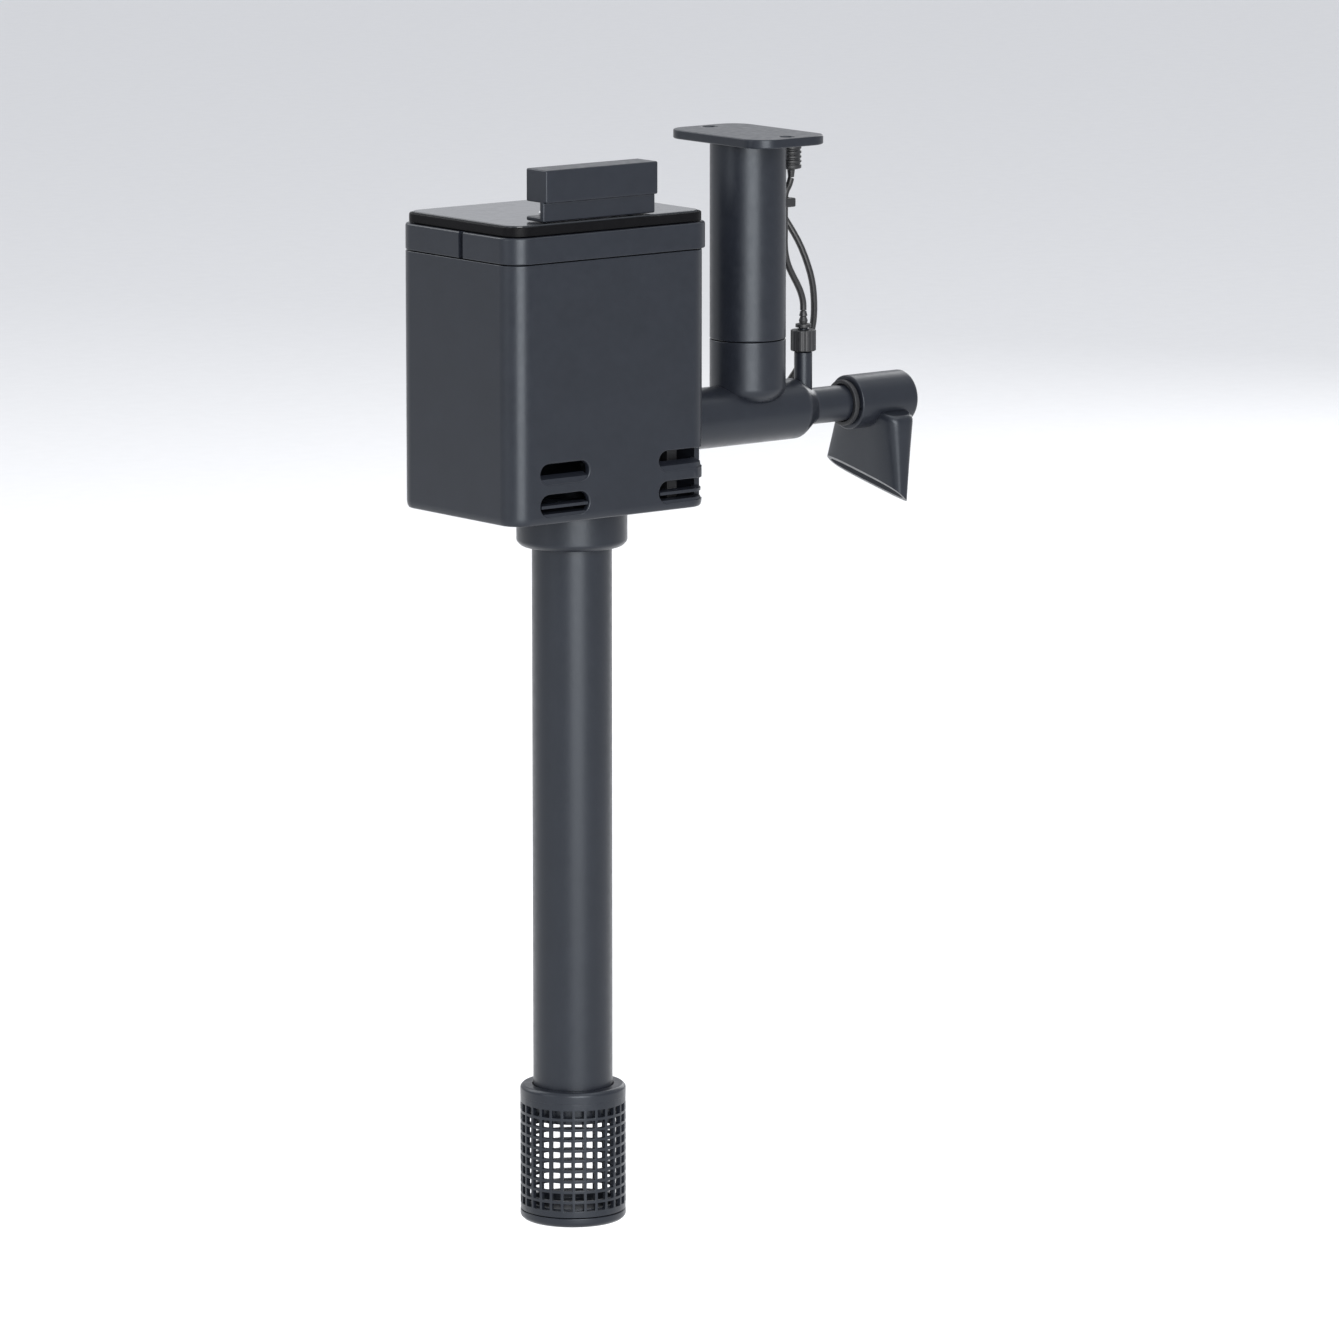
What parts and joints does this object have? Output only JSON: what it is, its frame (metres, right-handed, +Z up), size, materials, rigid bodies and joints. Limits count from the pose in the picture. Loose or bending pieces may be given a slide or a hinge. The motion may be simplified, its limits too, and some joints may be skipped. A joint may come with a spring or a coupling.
{
  "type": "internal power filter",
  "caption": "Aquarium internal filter: rounded box canister with lid grip, intake tube and strainer below, upright pump cylinder, level duct and swivelling duckbill outlet.",
  "frame": {"origin": "middle of the upper face of the flange on top of the pump cylinder, where the tank's hood holds the filter", "axes": "+Z up, +X from the canister along the duct towards the duckbill nozzle, -Y towards the side with the water slots"},
  "size_m": [0.186, 0.0763, 0.3525],
  "materials": {
    "charcoal_plastic": "satin moulded",
    "lid_plate": "glossy moulded",
    "dark_plastic": "matte moulded",
    "rubber": "soft matte",
    "foam": "open-cell foam",
    "floss": "spun fibre",
    "carbon": "carbon-loaded mat",
    "rotor_plastic": "smooth white",
    "magnet": "sintered",
    "steel": "bright",
    "ceramic": "polished ceramic",
    "iron": "laminated",
    "copper": "enamelled wire",
    "board": "solder mask",
    "lead": "smooth jacket"
  },
  "bodies": {
    "canister": {"canister_shell": "charcoal_plastic", "clean_water_channel": "dark_plastic", "media_grid": "dark_plastic", "intake_collar": "charcoal_plastic", "pump_housing": "charcoal_plastic", "duct_lock_ring": "dark_plastic", "duct_seal": "rubber", "eye_spider": "dark_plastic", "upper_bush": "rubber", "chamber_seal": "rubber", "motor_housing": "charcoal_plastic", "stator_core": "iron", "lower_winding": "copper", "upper_winding": "copper", "driver_board": "board", "board_capacitor": "dark_plastic", "board_choke": "iron", "motor_cap": "charcoal_plastic", "cap_seal": "rubber", "cable_gland": "rubber", "air_barb": "dark_plastic", "air_line": "lead", "air_line_clip": "dark_plastic", "air_silencer": "dark_plastic", "nozzle_stop_ring": "dark_plastic", "nozzle_oring": "rubber", "cord_hook": "dark_plastic", "lead_clip": "dark_plastic", "power_lead": "lead", "lead_coil": "lead", "coil_tie": "rubber", "lead_tail": "lead", "connector_body": "dark_plastic", "connector_barrel": "steel"},
    "lid": {"lid": "charcoal_plastic", "lid_trim": "rubber", "lid_top_plate": "lid_plate", "lid_grip": "charcoal_plastic", "grip_screw_1": "steel", "grip_screw_2": "steel", "cartridge_hanger": "dark_plastic", "media_basket": "dark_plastic", "coarse_sponge": "foam", "filter_floss": "floss", "carbon_pad": "carbon"},
    "intake": {"intake_tube": "charcoal_plastic", "intake_oring": "rubber"},
    "strainer": {"strainer_cage": "charcoal_plastic", "strainer_foot": "charcoal_plastic"},
    "rotor": {"impeller": "rotor_plastic", "shaft": "ceramic", "rotor_magnet": "magnet"},
    "nozzle": {"duckbill_nozzle": "charcoal_plastic"},
    "knob": {"air_knob": "dark_plastic"}
  },
  "joints": [
    {"name": "lid_lift", "type": "slide", "parent": "canister", "child": "lid", "axis": [0, 0, 1], "range_m": [0, 0.075]},
    {"name": "intake_pull", "type": "slide", "parent": "canister", "child": "intake", "axis": [0, 0, -1], "range_m": [0, 0.016]},
    {"name": "strainer_pull", "type": "slide", "parent": "intake", "child": "strainer", "axis": [0, 0, -1], "range_m": [0, 0.0105]},
    {"name": "impeller_spin", "type": "hinge", "parent": "canister", "child": "rotor", "pos_m": [0, 0, -0.0763], "axis": [0, 0, 1], "continuous": true},
    {"name": "nozzle_swivel", "type": "hinge", "parent": "canister", "child": "nozzle", "pos_m": [0.054, 0, -0.0928], "axis": [1, 0, 0], "range_deg": [-90, 90]},
    {"name": "air_knob_turn", "type": "hinge", "parent": "canister", "child": "knob", "pos_m": [0.0235, 0, -0.0705], "axis": [0, 0, 1], "range_deg": [0, 270]}
  ]
}
